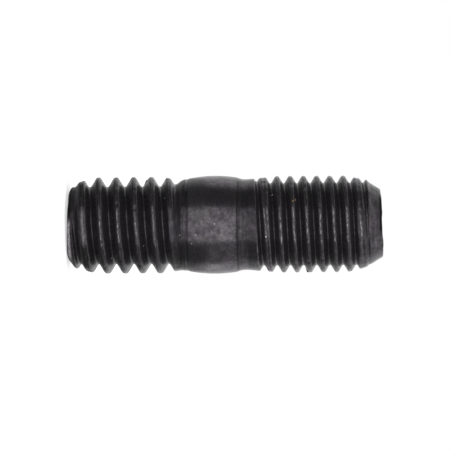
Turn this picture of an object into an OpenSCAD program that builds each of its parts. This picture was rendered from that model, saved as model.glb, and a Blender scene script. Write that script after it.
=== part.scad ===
// Double-ended threaded stud, in one piece. It stands on its coarse end: a coarse thread below,
// a crowned barrel between two plain necks in the middle, and a fine thread above. Both threads are
// rolled and right-hand. Their grooves fade out at the necks, and the crests fall away with them.

/* [Coarse end] */
// Diameter over the coarse crests
coarse_d = 7.76; // [7.5:0.02:8]
// Pitch of the coarse thread, 18 threads to the inch
coarse_pitch = 1.411; // [1.25:0.001:1.6]
// Length of the coarse thread, from its end face to where its crests have fallen to the neck
coarse_l = 9.1; // [8:0.1:14]
// Diameter at which the coarse chamfer stops and the first crest begins
coarse_chamfer_d = 6.85; // [6.6:0.05:7.2]
// Length of the chamfer on the coarse end
coarse_chamfer_l = 0.6; // [0.5:0.05:1.2]
// Length over which the first coarse crests grow to their full height
coarse_lead_l = 1.7; // [1:0.1:2.4]
// Length over which the last coarse crests fall to the neck
coarse_fall_l = 1.6; // [1:0.1:2.4]
// Length of the coarse groove's run-out, up to the end of its thread
coarse_runout_l = 0.85; // [0.6:0.05:2]
// Turns over which the coarse groove becomes shallow and ends at its neck
coarse_fade_turns = 0.9; // [0.4:0.1:1.9]
// Width of the coarse groove's root where it enters, for each unit of its full width
coarse_entry_width = 2.9; // [1:0.1:3.2]
// Angle at which the coarse groove meets the end face
coarse_start = 79; // [0:1:359]

/* [Fine end] */
// Diameter over the fine crests
fine_d = 7.76; // [7.5:0.02:8]
// Pitch of the fine thread, 24 threads to the inch
fine_pitch = 1.058; // [0.9:0.001:1.2]
// Length of the fine thread, from its end face to where its crests have fallen to the neck
fine_l = 10.85; // [8:0.1:16]
// Diameter at which the fine chamfer stops and the first crest begins
fine_chamfer_d = 7.05; // [6.8:0.05:7.3]
// Length of the chamfer on the fine end
fine_chamfer_l = 1.45; // [0.8:0.05:1.8]
// Length over which the first fine crests grow to their full height
fine_lead_l = 1.4; // [1:0.1:2.4]
// Length over which the last fine crests fall to the neck
fine_fall_l = 2.4; // [1:0.1:2.8]
// Length of the fine groove's run-out, up to the end of its thread
fine_runout_l = 1.3; // [0.6:0.05:1.4]
// Turns over which the fine groove becomes shallow and ends at its neck
fine_fade_turns = 0.85; // [0.4:0.05:1.2]
// Width of the fine groove's root where it enters, for each unit of its full width
fine_entry_width = 1; // [1:0.1:3.2]
// Angle at which the fine groove meets the end face
fine_start = 347; // [0:1:359]

/* [Both ends] */
// Diameter of the flat face on each end
face_d = 5.3; // [4.6:0.05:5.8]

/* [Shank] */
// Diameter of the plain neck beside the coarse thread
coarse_neck_d = 7.32; // [7:0.02:7.4]
// Length of the plain neck beside the coarse thread
coarse_neck_l = 0.2; // [0.1:0.05:3]
// Diameter of the plain neck beside the fine thread
fine_neck_d = 7.3; // [7:0.02:7.4]
// Length of the plain neck beside the fine thread
fine_neck_l = 0.2; // [0.1:0.05:4]
// Largest diameter of the barrel
barrel_d = 7.88; // [7.7:0.02:8.2]
// Length of the barrel between its hollow blends
barrel_l = 4; // [3:0.1:4.6]
// Radius of the barrel's crown along the axis
crown_r = 11.2; // [9.5:0.1:16]
// Distance from the coarse side of the barrel to its widest point
crown_at = 2.25; // [1.6:0.05:2.4]
// Length of the hollow blend between the coarse neck and the barrel
coarse_blend_l = 0.35; // [0.2:0.05:1]
// Length of the hollow blend between the barrel and the fine neck
fine_blend_l = 0.65; // [0.2:0.05:1]

/* [Hidden] */

// Form of a full groove: flanks 30 degrees off the square, a depth of 5/8 of the sharp V's height,
// and a flat root a seventh of the pitch wide, which leaves crests under a quarter of it wide.
// A root that enters wider has narrowed to that after a turn.
flank_angle = 30;
depth_share = 5 / 8 * cos(flank_angle);
root_share = 1 / 7;
entry_turns = 0.8;

// A fading groove rises slowly at first. In the coarse thread it falls behind the full pitch, and
// its flank on the shank's side leans over. In the fine thread it runs a little ahead.
fade_power = 2;
lean_turns = 0.45;
coarse_lean_angle = 54;
fine_lean_angle = flank_angle;
coarse_fade_share = 0.7;
fine_fade_share = 1.1;

// Height at which a groove's cutter passes over the crests and the neck, as a share of the pitch
proud_share = 0.05;

crown_steps = 16;
blend_steps = 4;
steps_per_turn = 40;
round_steps = 96;

coarse_neck_z = coarse_l;
coarse_blend_z = coarse_neck_z + coarse_neck_l;
barrel_z = coarse_blend_z + coarse_blend_l;
fine_blend_z = barrel_z + barrel_l;
fine_neck_z = fine_blend_z + fine_blend_l;
fine_z = fine_neck_z + fine_neck_l;
stud_l = fine_z + fine_l;

// Radius of the crowned barrel at a height above its coarse side
function crown_radius(z) =
    barrel_d / 2 - crown_r + sqrt(crown_r * crown_r - (z - crown_at) * (z - crown_at));

// Points of the barrel's crowned side, upwards
crown_points = [
    for (i = [0:crown_steps])
        let (z = barrel_l * i / crown_steps)
        [crown_radius(z), barrel_z + z]
];

// Points of a hollow blend, from the neck at neck_end_z up to the barrel's edge, which is left out
function blend_points(neck_r, edge_r, neck_end_z, length) = [
    for (i = [0:blend_steps - 1])
        let (share = i / blend_steps)
        [neck_r + (edge_r - neck_r) * share * share, neck_end_z + length * share]
];

// Points of a threaded end before its groove is rolled, from the end face to the neck
function end_points(crest_d, neck_d, length, chamfer_d, chamfer_l, lead_l, fall_l) = [
    [face_d / 2, 0],
    [chamfer_d / 2, chamfer_l],
    [crest_d / 2, chamfer_l + lead_l],
    [crest_d / 2, length - fall_l],
    [neck_d / 2, length],
];

function reversed(points) = [for (i = [len(points) - 1:-1:0]) points[i]];

// The whole stud without its grooves
module blank() {
    coarse_points = end_points(
        coarse_d, coarse_neck_d, coarse_l,
        coarse_chamfer_d, coarse_chamfer_l, coarse_lead_l, coarse_fall_l
    );
    fine_points = end_points(
        fine_d, fine_neck_d, fine_l,
        fine_chamfer_d, fine_chamfer_l, fine_lead_l, fine_fall_l
    );
    coarse_blend = blend_points(
        coarse_neck_d / 2, crown_radius(0), coarse_blend_z, coarse_blend_l
    );
    fine_blend = blend_points(
        fine_neck_d / 2, crown_radius(barrel_l), fine_neck_z, -fine_blend_l
    );
    rotate_extrude($fn = round_steps)
        polygon(concat(
            [[0, 0]],
            coarse_points,
            coarse_blend,
            crown_points,
            reversed(fine_blend),
            [for (p = reversed(fine_points)) [p[0], stud_l - p[1]]],
            [[0, stud_l]]
        ));
}

// Cutter for one rolled groove, with the end face at z = 0 and the shank above it.
// The first turn lies outside the end face, so that the groove leaves the face cleanly.
module groove(
    crest_d, neck_d, pitch, start, entry_width, full_l, fade_turns, fade_share, lean_angle
) {
    full_turns = full_l / pitch;
    steps = ceil((1 + full_turns + fade_turns) * steps_per_turn);
    proud = proud_share * pitch;
    full_root_half = root_share * pitch / 2;
    full_root_r = crest_d / 2 - depth_share * pitch;
    full_top_r = crest_d / 2 + proud;
    end_root_r = neck_d / 2 + proud;
    end_top_r = end_root_r + proud;

    // The four corners of the groove's section, as radius and height, from the lower flank's top
    function section(turn) =
        let (
            faded_turns = max(0, turn - full_turns),
            rise = pow(min(1, faded_turns / fade_turns), fade_power),
            lean = min(1, faded_turns / lean_turns),
            root_r = full_root_r + (end_root_r - full_root_r) * rise,
            top_r = full_top_r + (end_top_r - full_top_r) * rise,
            z = pitch * (turn - (1 - fade_share) * faded_turns),
            entered = min(1, max(0, turn / entry_turns)),
            root_half = full_root_half * (entry_width + (1 - entry_width) * pow(entered, 2)),
            upper_angle = flank_angle + (lean_angle - flank_angle) * lean
        )
        [
            [top_r, z - root_half - (top_r - root_r) * tan(flank_angle)],
            [root_r, z - root_half],
            [root_r, z + root_half],
            [top_r, z + root_half + (top_r - root_r) * tan(upper_angle)],
        ];

    corners = len(section(0));
    points = [
        for (i = [0:steps])
            let (turn = i / steps_per_turn - 1, angle = start + 360 * turn)
            for (p = section(turn)) [p[0] * cos(angle), p[0] * sin(angle), p[1]]
    ];
    sides = [
        for (i = [0:steps - 1], j = [0:corners - 1])
            let (
                a = i * corners + j,
                b = i * corners + (j + 1) % corners,
                c = b + corners,
                d = a + corners
            )
            each [[a, c, b], [a, d, c]]
    ];
    first_cap = [for (j = [0:corners - 1]) j];
    last_cap = [for (j = [corners - 1:-1:0]) steps * corners + j];
    polyhedron(points, concat([first_cap], sides, [last_cap]), convexity = 20);
}

module stud() {
    color("dimgray")
        difference() {
            blank();
            groove(
                coarse_d, coarse_neck_d, coarse_pitch, coarse_start, coarse_entry_width,
                coarse_l - coarse_runout_l, coarse_fade_turns, coarse_fade_share, coarse_lean_angle
            );
            translate([0, 0, stud_l])
                rotate([180, 0, 0])
                    groove(
                        fine_d, fine_neck_d, fine_pitch, fine_start, fine_entry_width,
                        fine_l - fine_runout_l, fine_fade_turns, fine_fade_share, fine_lean_angle
                    );
        }
}

stud();
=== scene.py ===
"""A double-ended threaded stud of blackened steel, standing on its coarse end on a pale floor."""
import math

import bmesh
import bpy
import numpy as np
from mathutils import Matrix, Vector, noise


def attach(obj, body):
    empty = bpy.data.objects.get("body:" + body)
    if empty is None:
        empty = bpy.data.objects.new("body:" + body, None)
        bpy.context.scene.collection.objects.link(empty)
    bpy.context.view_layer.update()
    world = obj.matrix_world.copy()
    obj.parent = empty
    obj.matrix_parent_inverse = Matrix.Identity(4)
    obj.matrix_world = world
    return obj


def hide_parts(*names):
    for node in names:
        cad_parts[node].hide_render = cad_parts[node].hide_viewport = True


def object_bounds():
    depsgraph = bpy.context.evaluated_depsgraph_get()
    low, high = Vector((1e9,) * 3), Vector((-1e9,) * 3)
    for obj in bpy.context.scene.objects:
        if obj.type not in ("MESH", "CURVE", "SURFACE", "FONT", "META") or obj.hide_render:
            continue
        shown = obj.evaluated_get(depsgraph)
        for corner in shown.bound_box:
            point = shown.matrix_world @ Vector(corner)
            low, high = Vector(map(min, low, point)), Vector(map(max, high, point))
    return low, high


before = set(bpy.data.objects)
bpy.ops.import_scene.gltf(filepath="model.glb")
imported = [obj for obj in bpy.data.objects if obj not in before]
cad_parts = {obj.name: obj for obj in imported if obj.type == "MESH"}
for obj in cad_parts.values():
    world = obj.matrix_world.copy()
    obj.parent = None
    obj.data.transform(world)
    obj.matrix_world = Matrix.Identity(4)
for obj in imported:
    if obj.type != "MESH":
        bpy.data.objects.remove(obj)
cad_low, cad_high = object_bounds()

MM = 0.001
STUD_L = cad_high.z
BARREL_R = cad_high.x

# Form of a full groove: flanks 30 degrees off the square, a depth of 5/8 of the sharp V's height,
# and a rounded root, where the solid has a flat a seventh of the pitch wide
FLANK_SLOPE = 1 / math.tan(math.radians(30))
DEPTH_SHARE = 5 / 8 * math.cos(math.radians(30))
HALF_ROOT_SHARE = 1 / 14
ROOT_POWER = 3
FIRST_ROOT_POWER = 7
ENTRY_TURNS = 0.55
ENTRY_POWER = 4

# Where a groove runs out, its root rises and its flank on the shank's side may lean over
LEAN_TURNS = 0.45
FADE_POWER = 2

COARSE = dict(
    pitch=1.411 * MM,
    start=79,
    crest_r=3.88 * MM,
    chamfer_r=3.425 * MM,
    neck_r=3.66 * MM,
    length=9.1 * MM,
    chamfer_l=0.6 * MM,
    lead_l=1.7 * MM,
    fall_l=1.6 * MM,
    full_l=8.25 * MM,
    fade_turns=0.9,
    fade_share=0.7,
    lean_angle=54,
    first_root=2.9,
    crest_round=0.15 * MM,
)
FINE = dict(
    pitch=1.058 * MM,
    start=347,
    crest_r=3.88 * MM,
    chamfer_r=3.525 * MM,
    neck_r=3.65 * MM,
    length=10.85 * MM,
    chamfer_l=1.45 * MM,
    lead_l=1.4 * MM,
    fall_l=2.4 * MM,
    full_l=9.55 * MM,
    fade_turns=0.85,
    fade_share=1.1,
    lean_angle=30,
    first_root=1,
    crest_round=0.13 * MM,
)

# Fine crests that the rolling didn't fill have a seam along their middle
SEAM_DEPTH = 0.05 * MM
SEAM_HALF_WIDTH = 0.04 * MM

# A shallow hollow in the coarse neck and creases at both edges of the barrel, each as height,
# half width and depth
CREASES = (
    (8.98 * MM, 0.24 * MM, 0.008 * MM),
    (9.7 * MM, 0.1 * MM, 0.045 * MM),
    (13.68 * MM, 0.07 * MM, 0.015 * MM),
)

# On one side the rolling pushed a lip up beside the fine chamfer
LIP_AWAY = 1.36 * MM
LIP_HALF_WIDTH = 0.16 * MM
LIP_HEIGHT = 0.09 * MM
LIP_ANGLE = 180
LIP_LINE_AWAY = 1.14 * MM
LIP_LINE_HALF_WIDTH = 0.045 * MM

# White specks, each as height, angle, radius and strength, the brightest a painted glint on the first
# fine crest, and two specks of rust
SPECKS = (
    (11.92 * MM, 269, 0.07 * MM, 0.5),
    (10.41 * MM, 282, 0.11 * MM, 0.25),
    (15.95 * MM, 285, 0.08 * MM, 0.7),
    (16.48 * MM, 225, 0.08 * MM, 0.5),
    (7.94 * MM, 232, 0.08 * MM, 0.3),
    (6.27 * MM, 299, 0.07 * MM, 0.4),
    (3.63 * MM, 324, 0.08 * MM, 0.4),
    (10.08 * MM, 293, 0.06 * MM, 0.4),
    (9.16 * MM, 283, 0.06 * MM, 0.3),
)
RUST = (
    (18.1 * MM, 241.6, 0.09 * MM),
    (18.32 * MM, 238.4, 0.08 * MM),
)

# Burrs on the flanks, each as height, angle, size and how far it stands out
BURRS = (
    (6.3 * MM, 180, 0.11 * MM, 0.2 * MM),
    (19.22 * MM, 0, 0.1 * MM, 0.28 * MM),
)

# Bright streaks wander along the crests, in pairs on the fine crests beside the neck, and on part of the
# coarse rim a highlight is painted in near white
STREAK_WANDER = 0.06 * MM
STREAK_HALF_WIDTH = 0.05 * MM
TWIN_AWAY = 0.12 * MM
PAINTED_RIM_HIGHLIGHT_Z = 0.3 * MM
PAINTED_RIM_HIGHLIGHT_HALF_WIDTH = 0.07 * MM
PAINTED_RIM_HIGHLIGHT_STRENGTH = 0.8
PAINTED_RIM_HIGHLIGHT_ANGLES = (258, 335)

# The first crest of each thread is rubbed bare in a band, with a highlight painted along its middle on
# the side facing the lights. Each crest has a height, a sector and a strength, and each part of the band
# a strength and a half width.
FIRST_CRESTS = (
    (1.5 * MM, (244, 300), 1),
    (23.46 * MM, (240, 328), 0.13),
)
BAND_PARTS = (
    (0.6, 0.055 * MM),
    (0.12, 0.2 * MM),
)

# The streaks are rubbed brightest within a sector
STREAK_ANGLES = (244, 299)

# Flakes on the barrel, as height, angle, half length along the stud and half width round it
FLAKES = (11.6 * MM, 329, 0.9 * MM, 6)

# How glossy the parts of the surface are against the barrel
NECK_GLOSS = 0.55
CREST_GLOSS = 0.5
CHAMFER_GLOSS = 0.62
GROOVE_GLOSS = 0.85
CREASE_GLOSS = 0.35
SHEARED_GLOSS = 0.1

# The edges of both ends are dark on one side, each as length and sector
COARSE_SHEARED = (0.5 * MM, (160, 262))
FINE_SHEARED = (0.42 * MM, (212, 290))

FACE_R = 2.65 * MM
COARSE_NECK_L = 0.2 * MM
COARSE_BLEND_L = 0.35 * MM
FINE_NECK_L = 0.2 * MM
FINE_BLEND_L = 0.65 * MM
BARREL_Z = COARSE["length"] + COARSE_NECK_L + COARSE_BLEND_L
BARREL_L = 4 * MM
CROWN_R = 11.2 * MM
CROWN_AT = 2.25 * MM
SOFTENING = 0.06 * MM

# A radius outside the whole stud, for where there is no groove
FAR_OUT = 1000 * MM

# The mesh follows the helix: this many columns round and rows to each turn
COLUMNS = 160
ROWS = 24
ROW_CROWDING = 0.45
OVERRUN = 0.8 * MM

# Both ends were sheared a little out of square, and are a little hollow at the photo's side
COARSE_SKEW = math.tan(math.radians(1.5))
FINE_SKEW = math.tan(math.radians(2))
HOLLOW_RAMP = 0.5 * MM
RIM_RINGS = 4
FACE_RINGS = 12

# Camera and light
PHOTO_SIZE = 450
PIXELS_PER_MM = 12.44
COARSE_FACE_X = 67.6
AXIS_Y_COARSE = 225.8
AXIS_Y_FINE = 223.6
CAMERA_AWAY = 195 * MM
CAMERA_TURN = math.radians(1.4)
FRONT_LIGHT_AWAY = 150 * MM
FRONT_LIGHT_HALF_HEIGHT = math.radians(40)
FRONT_LIGHT_HALF_WIDTH = math.radians(38)
FRONT_RADIANCE = 1.1
TOP_LIGHT_AWAY = 150 * MM
TOP_LIGHT_SIZE = (400 * MM, 210 * MM)
TOP_LIGHT_Y = -45 * MM
TOP_RADIANCE = 0.66
SIDE_RADIANCE_UP = 0.1
SIDE_RADIANCE_DOWN = 0.46
FLOOR_R = 120 * MM


def ease(x):
    return x * x * (3 - 2 * x)


def crown_radius(z):
    """Radius of the crowned barrel at a height above its coarse side."""
    return BARREL_R - CROWN_R + np.sqrt(CROWN_R**2 - (z - CROWN_AT) ** 2)


def end_outline(thread):
    """Distances from the end face and radii of a threaded end before its groove is rolled."""
    length = thread["length"]
    lead_end = thread["chamfer_l"] + thread["lead_l"]
    return [
        (0, FACE_R),
        (thread["chamfer_l"], thread["chamfer_r"]),
        (lead_end, thread["crest_r"]),
        (length - thread["fall_l"], thread["crest_r"]),
        (length, thread["neck_r"]),
    ]


def blend_outline(neck_r, edge_r, neck_end, length):
    """Heights and radii of a hollow blend from a neck up to the barrel's edge."""
    shares = np.linspace(0, 1, 6)[:-1]
    return [(neck_end + length * share, neck_r + (edge_r - neck_r) * share**2) for share in shares]


def blank_outline():
    """Heights and radii of the stud before its grooves are rolled, upwards."""
    low_r, high_r = crown_radius(0), crown_radius(BARREL_L)
    barrel_end = BARREL_Z + BARREL_L
    coarse_blend = blend_outline(COARSE["neck_r"], low_r, BARREL_Z - COARSE_BLEND_L, COARSE_BLEND_L)
    fine_blend = blend_outline(FINE["neck_r"], high_r, barrel_end + FINE_BLEND_L, -FINE_BLEND_L)
    crown = [(BARREL_Z + z, crown_radius(z)) for z in np.linspace(0, BARREL_L, 24)]
    fine_end = [(STUD_L - s, r) for s, r in end_outline(FINE)]
    points = end_outline(COARSE) + coarse_blend + crown + fine_blend[::-1] + fine_end[::-1]
    return np.array([p[0] for p in points]), np.array([p[1] for p in points])


def blank_radius(z):
    """The blank's radius with its corners softened, and its cones going on past the end faces."""
    heights, radii = blank_outline()
    heights = np.concatenate([[-OVERRUN * 2], heights, [STUD_L + OVERRUN * 2]])
    low_slope = (radii[1] - radii[0]) / (heights[2] - heights[1])
    high_slope = (radii[-1] - radii[-2]) / (heights[-2] - heights[-3])
    radii = np.concatenate(
        [[radii[0] - low_slope * OVERRUN * 2], radii, [radii[-1] + high_slope * OVERRUN * 2]]
    )
    offsets = np.linspace(-SOFTENING, SOFTENING, 7)
    return sum(np.interp(z + offset, heights, radii) for offset in offsets) / len(offsets)


def groove_radius(s, angle, thread):
    """Radius of the rolled groove s from the end face, at an angle as seen from it, and how far
    a point lies from the nearest crest's middle, towards the shank."""
    pitch = thread["pitch"]
    full_turns = thread["full_l"] / pitch
    full_root = thread["crest_r"] - DEPTH_SHARE * pitch
    end_root = thread["neck_r"] + thread["crest_round"]
    part = np.mod((angle - thread["start"]) / 360, 1)
    nearest = np.round(s / pitch - part)
    found = []
    sides = []
    for step in (-1, 0, 1, 2):
        turn = nearest + step + part
        faded = np.maximum(0, turn - full_turns)
        rise = np.minimum(1, faded / thread["fade_turns"]) ** FADE_POWER
        lean = np.minimum(1, faded / LEAN_TURNS)
        root = full_root + (end_root - full_root) * rise
        centre = pitch * (turn - (1 - thread["fade_share"]) * faded)
        upper_angle = np.radians(30 + (thread["lean_angle"] - 30) * lean)
        first = 1 - np.clip(turn / ENTRY_TURNS, 0, 1) ** ENTRY_POWER
        half_root = HALF_ROOT_SHARE * pitch * (1 + (thread["first_root"] - 1) * first)
        power = ROOT_POWER + (FIRST_ROOT_POWER - ROOT_POWER) * first
        away = s - centre
        slope = np.where(away < 0, FLANK_SLOPE, 1 / np.tan(upper_angle))
        bed = slope * half_root
        rounded = (1 + (np.abs(away) / half_root) ** power) ** (1 / power)
        radius = root + bed * (rounded - 1)
        found.append(np.where(faded > thread["fade_turns"], FAR_OUT, radius))
        sides.append(-np.sign(away))
    side = np.take_along_axis(np.array(sides), np.argmin(found, axis=0)[None], axis=0)[0]
    found = np.sort(found, axis=0)
    return found[0], side * (found[1] - found[0]) / (2 * FLANK_SLOPE)


def soft_minimum(a, b, width):
    """The smaller of two radii, with the corner between them rounded."""
    share = np.maximum(width - np.abs(a - b), 0) / width
    return np.minimum(a, b) - share * share * width / 4


def worn_share(z):
    """How much of a crest stands free: nothing at the necks and on the chamfers."""
    from_neck = np.maximum(COARSE["length"] - z, z - STUD_L + FINE["length"])
    from_face = np.minimum(z, STUD_L - z)
    return np.clip(from_neck / MM, 0, 1) * np.clip(from_face / MM - 0.5, 0, 1)


def crease_share(z, at, half):
    """How much of a crease's depth a height has, from 0 to 1."""
    return np.exp(-(((z - at) / half) ** 2))


def sector_share(angle, sector):
    """Whether an angle lies within a sector, from 0 to 1."""
    low, high = sector
    return np.clip(np.minimum(angle - low, high - angle) / 12, 0, 1)


def lip_height(z, angle):
    """How far the lip beside the fine chamfer stands out."""
    across = (STUD_L - z - LIP_AWAY) / LIP_HALF_WIDTH
    side = 0.5 + 0.5 * np.cos(np.radians(angle - LIP_ANGLE))
    return LIP_HEIGHT * side * np.exp(-(across**2))


def burr_height(z, angle):
    """How far the burrs stand out from the groove's flanks."""
    total = np.zeros_like(z)
    for height, burr_angle, size, out in BURRS:
        turn = np.radians(np.mod(angle - burr_angle + 180, 360) - 180)
        total += out * np.exp(-(((z - height) / size) ** 2) - (turn * BARREL_R / size / 2) ** 2)
    return total


def surface(z, angle):
    """Radius of the finished surface, how near a point is to a free crest and how much it lies
    in the rolled groove, both from 0 to 1, and its distance from the nearest crest's middle."""
    coarse_side = z < BARREL_Z + BARREL_L / 2
    pick = lambda coarse, fine: np.where(coarse_side, coarse, fine)
    blank = blank_radius(z) + lip_height(z, angle)
    coarse_groove, coarse_away = groove_radius(z, angle, COARSE)
    fine_groove, fine_away = groove_radius(STUD_L - z, -angle, FINE)
    groove = pick(coarse_groove, fine_groove)
    crest_away = pick(coarse_away, fine_away)
    over = (groove - blank) / MM
    unfilled = np.clip((FINE["crest_r"] - blank) / (0.09 * MM), 0, 1)
    unfilled *= np.clip((0.45 - over) / 0.15, 0, 1) * ~coarse_side
    seam = SEAM_DEPTH * unfilled * np.exp(-((crest_away / SEAM_HALF_WIDTH) ** 2))
    crease = sum(depth * crease_share(z, at, half) for at, half, depth in CREASES)
    radius = soft_minimum(blank, groove, pick(COARSE["crest_round"], FINE["crest_round"]))
    radius = np.minimum(radius + burr_height(z, angle), blank) - seam - crease
    crest = ease(np.clip(over / 0.12 + 0.6, 0, 1)) * (1 - ease(np.clip((over - 0.35) / 0.3, 0, 1)))
    rolled = ease(np.clip(0.5 - over / 0.1, 0, 1))
    return radius, crest * worn_share(z), rolled, crest_away


def helix_rows():
    """Row numbers, and the height at which each counted turn of the mesh's helix lies."""
    coarse_end, fine_end = COARSE["length"], STUD_L - FINE["length"]
    low, high = -OVERRUN, STUD_L + OVERRUN
    coarse_turn = lambda z: z / COARSE["pitch"] + COARSE["start"] / 360
    fine_turn = lambda z: (z - STUD_L) / FINE["pitch"] - FINE["start"] / 360
    middle = (fine_end - coarse_end) * 2 / (COARSE["pitch"] + FINE["pitch"])
    shift = round(coarse_turn(coarse_end) + middle - fine_turn(fine_end))
    heights = [low, coarse_end, fine_end, high]
    turns = [
        coarse_turn(low), coarse_turn(coarse_end), fine_turn(fine_end) + shift, fine_turn(high) + shift
    ]
    first = math.floor((turns[0] - 1) * ROWS)
    last = math.ceil((turns[-1] + 1) * ROWS)
    return np.arange(first, last + 1), heights, turns


def helix_mesh():
    """The threaded side as one long strip wound round the stud, running past both end faces."""
    rows, heights, turns = helix_rows()
    share = rows / ROWS
    # Rows lie closer together at the crests and roots than on the flanks
    warped = share - ROW_CROWDING / (4 * math.pi) * np.sin(4 * math.pi * share)
    column = np.arange(COLUMNS)
    turn = warped[:, None] + column[None, :] / COLUMNS
    slope_low = (heights[1] - heights[0]) / (turns[1] - turns[0])
    slope_high = (heights[-1] - heights[-2]) / (turns[-1] - turns[-2])
    z = np.interp(turn, turns, heights)
    z = np.where(turn < turns[0], heights[0] + (turn - turns[0]) * slope_low, z)
    z = np.where(turn > turns[-1], heights[-1] + (turn - turns[-1]) * slope_high, z)
    angle = np.broadcast_to(column * 360 / COLUMNS, z.shape)
    radius, crest, _, _ = surface(z, angle)
    points = polar_points(roughen(polar_points(radius, angle, z), radius, crest), angle, z)
    bm = bmesh.new()
    verts = [bm.verts.new(p) for p in points.reshape(-1, 3)]
    count = len(rows)
    for r in range(count - 1):
        for c in range(COLUMNS):
            if c + 1 < COLUMNS:
                right = r * COLUMNS + c + 1
            elif r + ROWS + 1 < count:
                right = (r + ROWS) * COLUMNS
            else:
                continue
            left = r * COLUMNS + c
            bm.faces.new([verts[left], verts[right], verts[right + COLUMNS], verts[left + COLUMNS]])
    return bm


def waviness(points, size, seed):
    """Smooth noise from -1 to 1 at each point, with bumps of about that size."""
    shift = Vector((seed * 3.1, seed * 5.7, seed * 7.3))
    flat = points.reshape(-1, 3) / size
    values = [noise.noise(Vector(p) + shift) for p in flat]
    return np.array(values).reshape(points.shape[:-1])


def roughen(points, radius, crest):
    """Takes a little off the radius: shallow waves all over, and nicks along the crests."""
    waves = 0.006 * MM * (waviness(points, 1.6 * MM, 1) - 1)
    nicks = np.clip(waviness(points, 0.45 * MM, 2) - 0.15, 0, 1) * crest * 0.09 * MM
    return radius + waves - nicks


def polar_points(radius, angle, z):
    turn = np.radians(angle)
    return np.stack([radius * np.cos(turn), radius * np.sin(turn), z], axis=-1)


def end_inset(x, y, end):
    """How far a face lies inside the square end at a place: its skew, waves and hollow."""
    wave = noise.noise(Vector((x, y, end["seed"] * MM)) / end["wave_l"]) * 0.5 + 0.5
    low, high = end["hollow_x"]
    across = min(max((high - x) / HOLLOW_RAMP, 0), max((x - low) / HOLLOW_RAMP, 0), 1)
    hollow = end["hollow_h"] * across * min(max(-y / MM, 0), 1)
    return end["skew"] * max(0, FACE_R - x) + end["wave_h"] * wave + hollow


def close_end(bm, end):
    """Cuts the strip off at an end, rounds its rim and closes the face with rings."""
    out = end["out"]
    base = end["z"] - out * (end["rim_h"] + end["skew"] * FACE_R)
    normal = Vector((-out * end["skew"], 0, 1)).normalized()
    bmesh.ops.bisect_plane(
        bm,
        geom=bm.verts[:] + bm.edges[:] + bm.faces[:],
        plane_co=Vector((0, 0, base)),
        plane_no=normal,
        clear_outer=out > 0,
        clear_inner=out < 0,
    )
    near = 0.001 * MM
    on_plane = lambda v: abs((v.co - Vector((0, 0, base))).dot(normal)) < near
    loop = [e for e in bm.edges if e.is_boundary and all(on_plane(v) for v in e.verts)]

    def next_ring(loop, place):
        made = bmesh.ops.extrude_edge_only(bm, edges=loop)["geom"]
        verts = {v for v in made if isinstance(v, bmesh.types.BMVert)}
        for v in verts:
            v.co = place(v.co)
        return [e for e in made if isinstance(e, bmesh.types.BMEdge) and set(e.verts) <= verts]

    def rim_step(before, after):
        """Moves a ring along the rim's curve, from one share of it to the next."""
        curve = lambda t: Vector((
            2 * t * (1 - t) * end["cone"] * end["rim_h"]
            + t * t * (end["cone"] * end["rim_h"] + end["rim_flat"]),
            (2 * t * (1 - t) + t * t) * end["rim_h"],
        ))
        step = curve(after) - curve(before)

        def place(co):
            r = math.hypot(co.x, co.y)
            share = (r - step.x) / r
            dip = (end_inset(co.x, co.y, end) - end["skew"] * max(0, FACE_R - co.x)) * (after - before)
            return Vector((co.x * share, co.y * share, co.z + out * (step.y - dip)))

        return place

    for k in range(RIM_RINGS):
        loop = next_ring(loop, rim_step(k / RIM_RINGS, (k + 1) / RIM_RINGS))
    for k in range(1, FACE_RINGS):
        share = (FACE_RINGS - k) / (FACE_RINGS - k + 1)

        def shrink(co):
            x, y = co.x * share, co.y * share
            return Vector((x, y, end["z"] - out * end_inset(x, y, end)))

        loop = next_ring(loop, shrink)
    bmesh.ops.contextual_create(bm, geom=loop)


ENDS = (
    dict(
        z=0,
        out=-1,
        skew=COARSE_SKEW,
        cone=(COARSE["chamfer_r"] - FACE_R) / COARSE["chamfer_l"],
        rim_h=0.2 * MM,
        rim_flat=0.16 * MM,
        wave_l=1.3 * MM,
        wave_h=0.05 * MM,
        hollow_x=(-2.5 * MM, 2.1 * MM),
        hollow_h=0.06 * MM,
        seed=2,
    ),
    dict(
        z=STUD_L,
        out=1,
        skew=FINE_SKEW,
        cone=(FINE["chamfer_r"] - FACE_R) / FINE["chamfer_l"],
        rim_h=0.12 * MM,
        rim_flat=0.2 * MM,
        wave_l=0.8 * MM,
        wave_h=0.07 * MM,
        hollow_x=(-0.9 * MM, 1.3 * MM),
        hollow_h=0.08 * MM,
        seed=5,
    ),
)


def build_stud():
    bm = helix_mesh()
    for end in ENDS:
        close_end(bm, end)
    bmesh.ops.recalc_face_normals(bm, faces=bm.faces[:])
    mesh = bpy.data.meshes.new("stud_body")
    bm.to_mesh(mesh)
    bm.free()
    mesh.shade_smooth()
    add_wear_and_painted_highlights(mesh)
    stud = bpy.data.objects.new("stud_body", mesh)
    bpy.context.scene.collection.objects.link(stud)
    return stud


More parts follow.
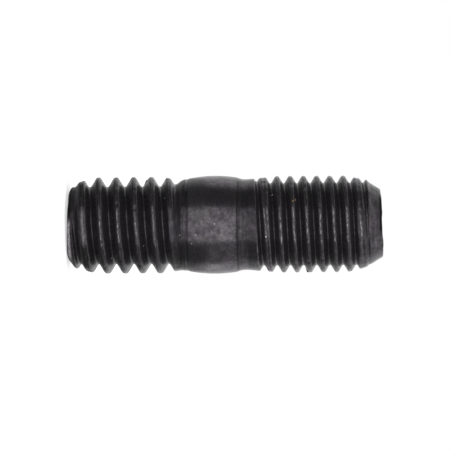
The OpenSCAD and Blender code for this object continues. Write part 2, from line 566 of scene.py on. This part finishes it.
def add_wear_and_painted_highlights(mesh):
    """Stores where a point is rubbed bright, where it is bare or carries a painted highlight, how much
    it lies in a groove and how glossy it is.
    """
    flat = np.empty(len(mesh.vertices) * 3)
    mesh.vertices.foreach_get("co", flat)
    points = flat.reshape(-1, 3)
    x, y, z = points.T
    angle = np.mod(np.degrees(np.arctan2(y, x)), 360)
    _, crest, rolled, crest_away = surface(z, angle)

    wander = STREAK_WANDER * waviness(points, 1.3 * MM, 3)
    from_neck = np.maximum(COARSE["length"] - z, z - STUD_L + FINE["length"])
    fine_side = z > STUD_L / 2
    twin = fine_side * TWIN_AWAY * np.clip(2.4 - from_neck / MM, 0, 1)
    streak = crest * np.exp(-(((np.abs(crest_away - wander) - twin) / STREAK_HALF_WIDTH) ** 2))
    streak *= np.clip((from_neck - 1.3 * MM) / (0.5 * MM), np.where(fine_side, 0.8, 0.35), 1)
    streak *= 0.5 + 0.5 * sector_share(angle, STREAK_ANGLES)
    edge_line = fine_side * 4 * rolled * (1 - rolled) * np.clip((1.1 - from_neck / MM) / 0.3, 0, 1)
    lip_line = np.exp(-(((STUD_L - z - LIP_LINE_AWAY) / LIP_LINE_HALF_WIDTH) ** 2))
    lip_line *= np.clip(3 - np.abs(angle - 240) / 20, 0, 1)
    radius = np.hypot(x, y)
    # A painted highlight: a near-white band round the coarse rim, on the side facing the lights
    rim = PAINTED_RIM_HIGHLIGHT_STRENGTH * np.clip(2 - np.abs(z - PAINTED_RIM_HIGHLIGHT_Z) / PAINTED_RIM_HIGHLIGHT_HALF_WIDTH, 0, 1)
    rim *= sector_share(angle, PAINTED_RIM_HIGHLIGHT_ANGLES) * (radius > FACE_R * 0.93)
    store(mesh, "rubbed", np.maximum(streak, np.maximum(0.7 * lip_line, 0.6 * edge_line)))
    flakes = np.exp(-(((z - FLAKES[0]) / FLAKES[2]) ** 2) - ((angle - FLAKES[1]) / FLAKES[3]) ** 2)
    # The first crests' worn band, with a painted highlight along its middle
    band = sum(share * np.exp(-(((crest_away - wander) / half) ** 2)) for share, half in BAND_PARTS)
    band *= (1 - rolled) * sum(
        strength * sector_share(angle, sector) * np.clip(3 - np.abs(z - at) / (0.25 * MM), 0, 1)
        for at, sector, strength in FIRST_CRESTS
    )
    store(mesh, "bare_and_painted_highlight", np.maximum(rim, np.maximum(0.2 * flakes, band)))
    store(mesh, "rolled", rolled)

    from_chamfer = np.minimum(z - COARSE["chamfer_l"], STUD_L - z - FINE["chamfer_l"])
    inside = np.minimum(z - BARREL_Z, BARREL_Z + BARREL_L - z)
    mixed = lambda a, b, share: a + (b - a) * share
    threaded = ease(np.clip(from_neck / (0.3 * MM), 0, 1))
    chamfered = ease(np.clip(0.5 - from_chamfer / (0.3 * MM), 0, 1))
    barrel = ease(np.clip(inside / (0.1 * MM) + 0.5, 0, 1))
    gloss = mixed(NECK_GLOSS, CREST_GLOSS, threaded)
    gloss = mixed(gloss, CHAMFER_GLOSS, chamfered)
    gloss = mixed(gloss, 1, barrel) * mixed(1, GROOVE_GLOSS, rolled)
    for at, half, _ in CREASES:
        gloss *= mixed(1, CREASE_GLOSS, crease_share(z, at, half))
    for away, (length, sector) in ((z, COARSE_SHEARED), (STUD_L - z, FINE_SHEARED)):
        sheared = np.clip((length - away) / (0.05 * MM), 0, 1) * (radius > FACE_R * 0.93)
        gloss *= mixed(1, SHEARED_GLOSS, sheared * sector_share(angle, sector))
    store(mesh, "gloss", gloss)
    store(mesh, "turned", np.maximum(chamfered, (1 - threaded) * (1 - barrel)))


def store(mesh, name, values):
    mesh.attributes.new(name, "FLOAT", "POINT").data.foreach_set("value", values)


class Nodes:
    """Short calls for building a material's or the world's nodes."""

    def __init__(self, tree):
        self.tree = tree
        tree.nodes.clear()

    def add(self, kind, inputs=None, **settings):
        made = self.tree.nodes.new("ShaderNode" + kind)
        for name, value in settings.items():
            setattr(made, name, value)
        for name, value in (inputs or {}).items():
            if isinstance(value, bpy.types.NodeSocket):
                self.tree.links.new(value, made.inputs[name])
            else:
                made.inputs[name].default_value = value
        return made

    def math(self, operation, a, b=0.0, clamp=False):
        return self.add("Math", {0: a, 1: b}, operation=operation, use_clamp=clamp).outputs[0]

    def mix(self, factor, a, b):
        made = self.add("Mix", data_type="RGBA")
        for socket, value in ((made.inputs[0], factor), (made.inputs[6], a), (made.inputs[7], b)):
            if isinstance(value, bpy.types.NodeSocket):
                self.tree.links.new(value, socket)
            else:
                socket.default_value = value
        return made.outputs[2]

    def between(self, value, low, high, to_low=0.0, to_high=1.0):
        return self.add(
            "MapRange",
            {"Value": value, "From Min": low, "From Max": high, "To Min": to_low, "To Max": to_high},
            interpolation_type="SMOOTHSTEP",
        ).outputs[0]

    def noise(self, coordinates, bumps_per_mm, detail=4.0, roughness=0.55):
        return self.add(
            "TexNoise",
            {
                "Vector": coordinates,
                "Scale": bumps_per_mm / MM,
                "Detail": detail,
                "Roughness": roughness,
            },
        ).outputs[0]


def grey(value, tint=(1.0, 1.0, 1.0)):
    return (value * tint[0], value * tint[1], value * tint[2], 1)


def spot(z, angle):
    """The place of a small spot on the finished surface."""
    radius = surface(np.array([z]), np.array([float(angle)]))[0][0]
    turn = math.radians(angle)
    return radius * math.cos(turn), radius * math.sin(turn), z


def black_oxide():
    """Blackened steel: blotched, with a fine grain, rubbed streaks, painted highlights on the coarse rim
    and first crests, white specks with one painted glint, and specks of rust.
    """
    material = bpy.data.materials.new("black_oxide")
    material.use_nodes = True
    n = Nodes(material.node_tree)
    place = n.add("TexCoord").outputs["Object"]
    rubbed = n.add("Attribute", attribute_name="rubbed").outputs["Fac"]
    bare_and_painted_highlight = n.add("Attribute", attribute_name="bare_and_painted_highlight").outputs["Fac"]
    rolled = n.add("Attribute", attribute_name="rolled").outputs["Fac"]
    marks = n.add("Attribute", attribute_name="turned").outputs["Fac"]
    share = n.add("Attribute", attribute_name="gloss").outputs["Fac"]

    blotches = n.noise(place, 0.55, 5)
    cloud = n.noise(place, 1.7, 6, 0.6)
    mottle = n.noise(place, 4.5, 4, 0.6)
    grain = n.noise(place, 16, 3, 0.6)

    # Marks drawn out round the stud, and on the flanks marks that run outwards
    around = n.add("VectorMath", {0: place, 1: (0.25, 0.25, 6.0)}, operation="MULTIPLY").outputs[0]
    turned = n.noise(around, 1.6, 4, 0.6)
    flat = n.add("VectorMath", {0: place, 1: (1.0, 1.0, 0.0)}, operation="MULTIPLY").outputs[0]
    outwards = n.add("VectorMath", {0: flat}, operation="NORMALIZE").outputs[0]
    ribs = n.noise(outwards, 0.022, 4, 0.7)

    dark = n.mix(n.between(blotches, 0.35, 0.65), grey(0.005), grey(0.008, (1.06, 0.97, 1.04)))
    body = n.mix(n.between(cloud, 0.35, 0.7), dark, grey(0.012, (1.05, 0.97, 1.04)))
    body = n.mix(rolled, body, grey(0.016, (1.06, 0.96, 1.06)))

    drawn_out = n.add("VectorMath", {0: place, 1: (1.0, 1.0, 4.0)}, operation="MULTIPLY").outputs[0]
    rub_noise = n.noise(drawn_out, 2.6, 6, 0.75)
    worn = n.between(rub_noise, 0.42, 0.6)
    rub = n.math("MULTIPLY", rubbed, worn, True)
    colour = n.mix(rub, body, grey(0.29, (1.02, 0.98, 1.02)))
    # Near white for bare steel and for the painted highlights on the coarse rim and first crests
    colour = n.mix(n.math("MULTIPLY", bare_and_painted_highlight, n.between(rub_noise, 0.3, 0.6), True), colour, grey(0.9, (1.03, 0.97, 1.03)))

    # White specks, the one on the first fine crest a painted glint
    for z, angle, radius, strength in SPECKS:
        away = n.add("VectorMath", {0: place, 1: spot(z, angle)}, operation="DISTANCE").outputs["Value"]
        white = n.between(away, radius, radius * 0.3)
        colour = n.mix(white, colour, grey(strength, (1.0, 0.98, 0.95)))
    for z, angle, radius in RUST:
        away = n.add("VectorMath", {0: place, 1: spot(z, angle)}, operation="DISTANCE").outputs["Value"]
        stain = n.between(away, radius * 2.5, 0, 0, 0.6)
        colour = n.mix(stain, colour, grey(0.04, (1.5, 0.8, 0.35)))
        colour = n.mix(n.between(away, radius, radius * 0.4), colour, grey(0.3, (1.2, 0.9, 0.55)))

    roughness = n.between(cloud, 0.3, 0.7, 0.21, 0.28)
    fine_lines = n.math("MULTIPLY", n.between(turned, 0.3, 0.7, 0.35, -0.35), marks)
    streaks = n.math("MULTIPLY", n.math("ADD", fine_lines, 1.0), share)
    streaks = n.math("MULTIPLY", n.between(mottle, 0.3, 0.7, 1.25, 0.75), streaks)
    gloss = n.math("MULTIPLY", n.between(cloud, 0.32, 0.68, 0.7, 0.32), streaks)
    tint = n.mix(n.between(blotches, 0.4, 0.6), grey(1.0, (1.0, 0.9, 1.05)), grey(1.0, (1.0, 0.94, 1.0)))
    height = n.math("ADD", n.math("MULTIPLY", cloud, 0.6), n.math("MULTIPLY", grain, 0.1))
    height = n.math("ADD", height, n.math("MULTIPLY", n.math("MULTIPLY", turned, marks), 0.3))
    height = n.math("ADD", height, n.math("MULTIPLY", n.math("MULTIPLY", ribs, rolled), 1.2))
    bump = n.add("Bump", {"Height": height, "Strength": 0.5, "Distance": 0.006 * MM}).outputs[0]
    shader = n.add(
        "BsdfPrincipled",
        {
            "Base Color": colour,
            "Metallic": n.between(rub, 0.0, 0.3, 0.0, 0.95),
            "Roughness": roughness,
            "Normal": bump,
            "IOR": 1.8,
            "Specular IOR Level": gloss,
            "Specular Tint": tint,
        },
    )
    n.add("OutputMaterial", {"Surface": shader.outputs[0]})
    return material


def floor_material():
    """Plain pale floor. The camera sees it as white as the background. In the steel it mirrors
    like what stands over it: bright before the stud, behind it and under it, and dim beside it."""
    material = bpy.data.materials.new("floor")
    material.use_nodes = True
    n = Nodes(material.node_tree)
    path = n.add("LightPath").outputs
    place = n.add("TexCoord").outputs["Object"]
    out = n.add("VectorMath", {0: place}, operation="NORMALIZE").outputs[0]
    far = n.add("VectorMath", {0: place}, operation="LENGTH").outputs["Value"]
    y = n.add("SeparateXYZ", {0: out}).outputs[1]
    under = n.between(far, 6 * MM, 4 * MM, 0, 0.2)
    before = n.math("MULTIPLY", n.between(y, -0.7, -0.8), n.between(far, 8 * MM, 14 * MM))
    behind = n.between(y, 0.1, 0.75, 0, 0.45)
    white = n.math("MAXIMUM", n.math("MAXIMUM", before, behind), under)
    mirrored = n.math("MULTIPLY", path["Is Glossy Ray"], white)
    pale = n.mix(path["Is Glossy Ray"], grey(0.8), grey(0.15))
    plain = n.add("BsdfDiffuse", {"Color": pale})
    plain_ray = n.math("MAXIMUM", path["Is Camera Ray"], path["Is Transmission Ray"])
    strength = n.math("ADD", n.math("MULTIPLY", plain_ray, 0.6), mirrored)
    glow = n.add("Emission", {"Color": grey(1.0), "Strength": strength})
    both = n.add("AddShader", {0: plain.outputs[0], 1: glow.outputs[0]})
    n.add("OutputMaterial", {"Surface": both.outputs[0]})
    return material


def make_floor():
    bm = bmesh.new()
    bmesh.ops.create_circle(bm, cap_ends=True, segments=96, radius=FLOOR_R)
    mesh = bpy.data.meshes.new("floor")
    bm.to_mesh(mesh)
    bm.free()
    floor = bpy.data.objects.new("floor", mesh)
    mesh.materials.append(floor_material())
    bpy.context.scene.collection.objects.link(floor)


def area_light(name, place, towards, size, radiance):
    """A soft box that glows alike over its whole face."""
    data = bpy.data.lights.new(name, "AREA")
    data.shape = "RECTANGLE"
    data.size, data.size_y = size
    data.energy = math.pi * size[0] * size[1] * radiance
    lamp = bpy.data.objects.new(name, data)
    lamp.location = place
    lamp.rotation_euler = (Vector(towards) - Vector(place)).to_track_quat("-Z", "Y").to_euler()
    lamp.visible_camera = False
    bpy.context.scene.collection.objects.link(lamp)


def make_lights():
    middle = (0, 0, STUD_L / 2)
    height = 2 * FRONT_LIGHT_AWAY * math.tan(FRONT_LIGHT_HALF_HEIGHT)
    width = 2 * FRONT_LIGHT_AWAY * math.tan(FRONT_LIGHT_HALF_WIDTH)
    area_light("front_box", (0, -FRONT_LIGHT_AWAY, STUD_L / 2), middle, (height, width), FRONT_RADIANCE)
    top = (0, TOP_LIGHT_Y, STUD_L + TOP_LIGHT_AWAY)
    area_light("top_box", top, (0, TOP_LIGHT_Y, 0), TOP_LIGHT_SIZE, TOP_RADIANCE)


def make_world():
    """White to the camera. What the steel mirrors is white behind it and dark beside it."""
    world = bpy.data.worlds.new("studio")
    world.use_nodes = True
    bpy.context.scene.world = world
    n = Nodes(world.node_tree)
    path = n.add("LightPath").outputs
    towards = n.add("TexCoord").outputs["Generated"]
    axes = n.add("SeparateXYZ", {0: towards}).outputs
    beside = n.between(axes[0], -0.7, 0.7, SIDE_RADIANCE_UP, SIDE_RADIANCE_DOWN)
    level = n.between(n.math("ABSOLUTE", axes[2]), 0.8, 0.55)
    leaning = n.math("ADD", axes[1], n.math("MULTIPLY", n.math("MAXIMUM", axes[0], 0.0), 0.14))
    behind = n.math("MULTIPLY", n.between(leaning, -0.05, 0.52), level)
    mirrored = n.math("MAXIMUM", beside, behind)
    ambient = n.math("MULTIPLY", path["Is Diffuse Ray"], 0.5)
    glossy = n.math("MULTIPLY", path["Is Glossy Ray"], mirrored)
    plain = n.math("MAXIMUM", path["Is Camera Ray"], path["Is Transmission Ray"])
    strength = n.math("MAXIMUM", n.math("MAXIMUM", ambient, glossy), plain)
    background = n.add("Background", {"Color": grey(1.0), "Strength": strength})
    n.add("OutputWorld", {"Surface": background.outputs[0]})


def make_camera():
    """Looks at the stud's side with its axis across the picture, coarse end at the left."""
    data = bpy.data.cameras.new("camera")
    field = PHOTO_SIZE / PIXELS_PER_MM * MM
    data.lens = data.sensor_width * CAMERA_AWAY / field
    data.clip_start, data.clip_end = CAMERA_AWAY / 10, CAMERA_AWAY * 10
    length_px = STUD_L / MM * PIXELS_PER_MM
    centre_px = PHOTO_SIZE / 2
    slope = (AXIS_Y_FINE - AXIS_Y_COARSE) / length_px
    along = (centre_px - COARSE_FACE_X) / PIXELS_PER_MM * MM
    drop = (AXIS_Y_COARSE + slope * (centre_px - COARSE_FACE_X) - centre_px) / PIXELS_PER_MM * MM
    target = Vector((-drop, 0, along))
    back = Vector((0, -math.cos(CAMERA_TURN), math.sin(CAMERA_TURN)))
    up = Vector((-1, 0, 0))
    across = up.cross(back)
    turn = Matrix((across, up, back)).transposed()
    roll = Matrix.Rotation(math.atan(slope), 3, back)
    camera = bpy.data.objects.new("camera", data)
    camera.matrix_world = Matrix.Translation(target + back * CAMERA_AWAY) @ (roll @ turn).to_4x4()
    bpy.context.scene.collection.objects.link(camera)
    bpy.context.scene.camera = camera


bpy.context.scene.view_settings.view_transform = "Standard"
make_camera()
make_world()
make_lights()
make_floor()

stud = build_stud()
stud.data.materials.append(black_oxide())
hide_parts("stud")
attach(stud, "root")
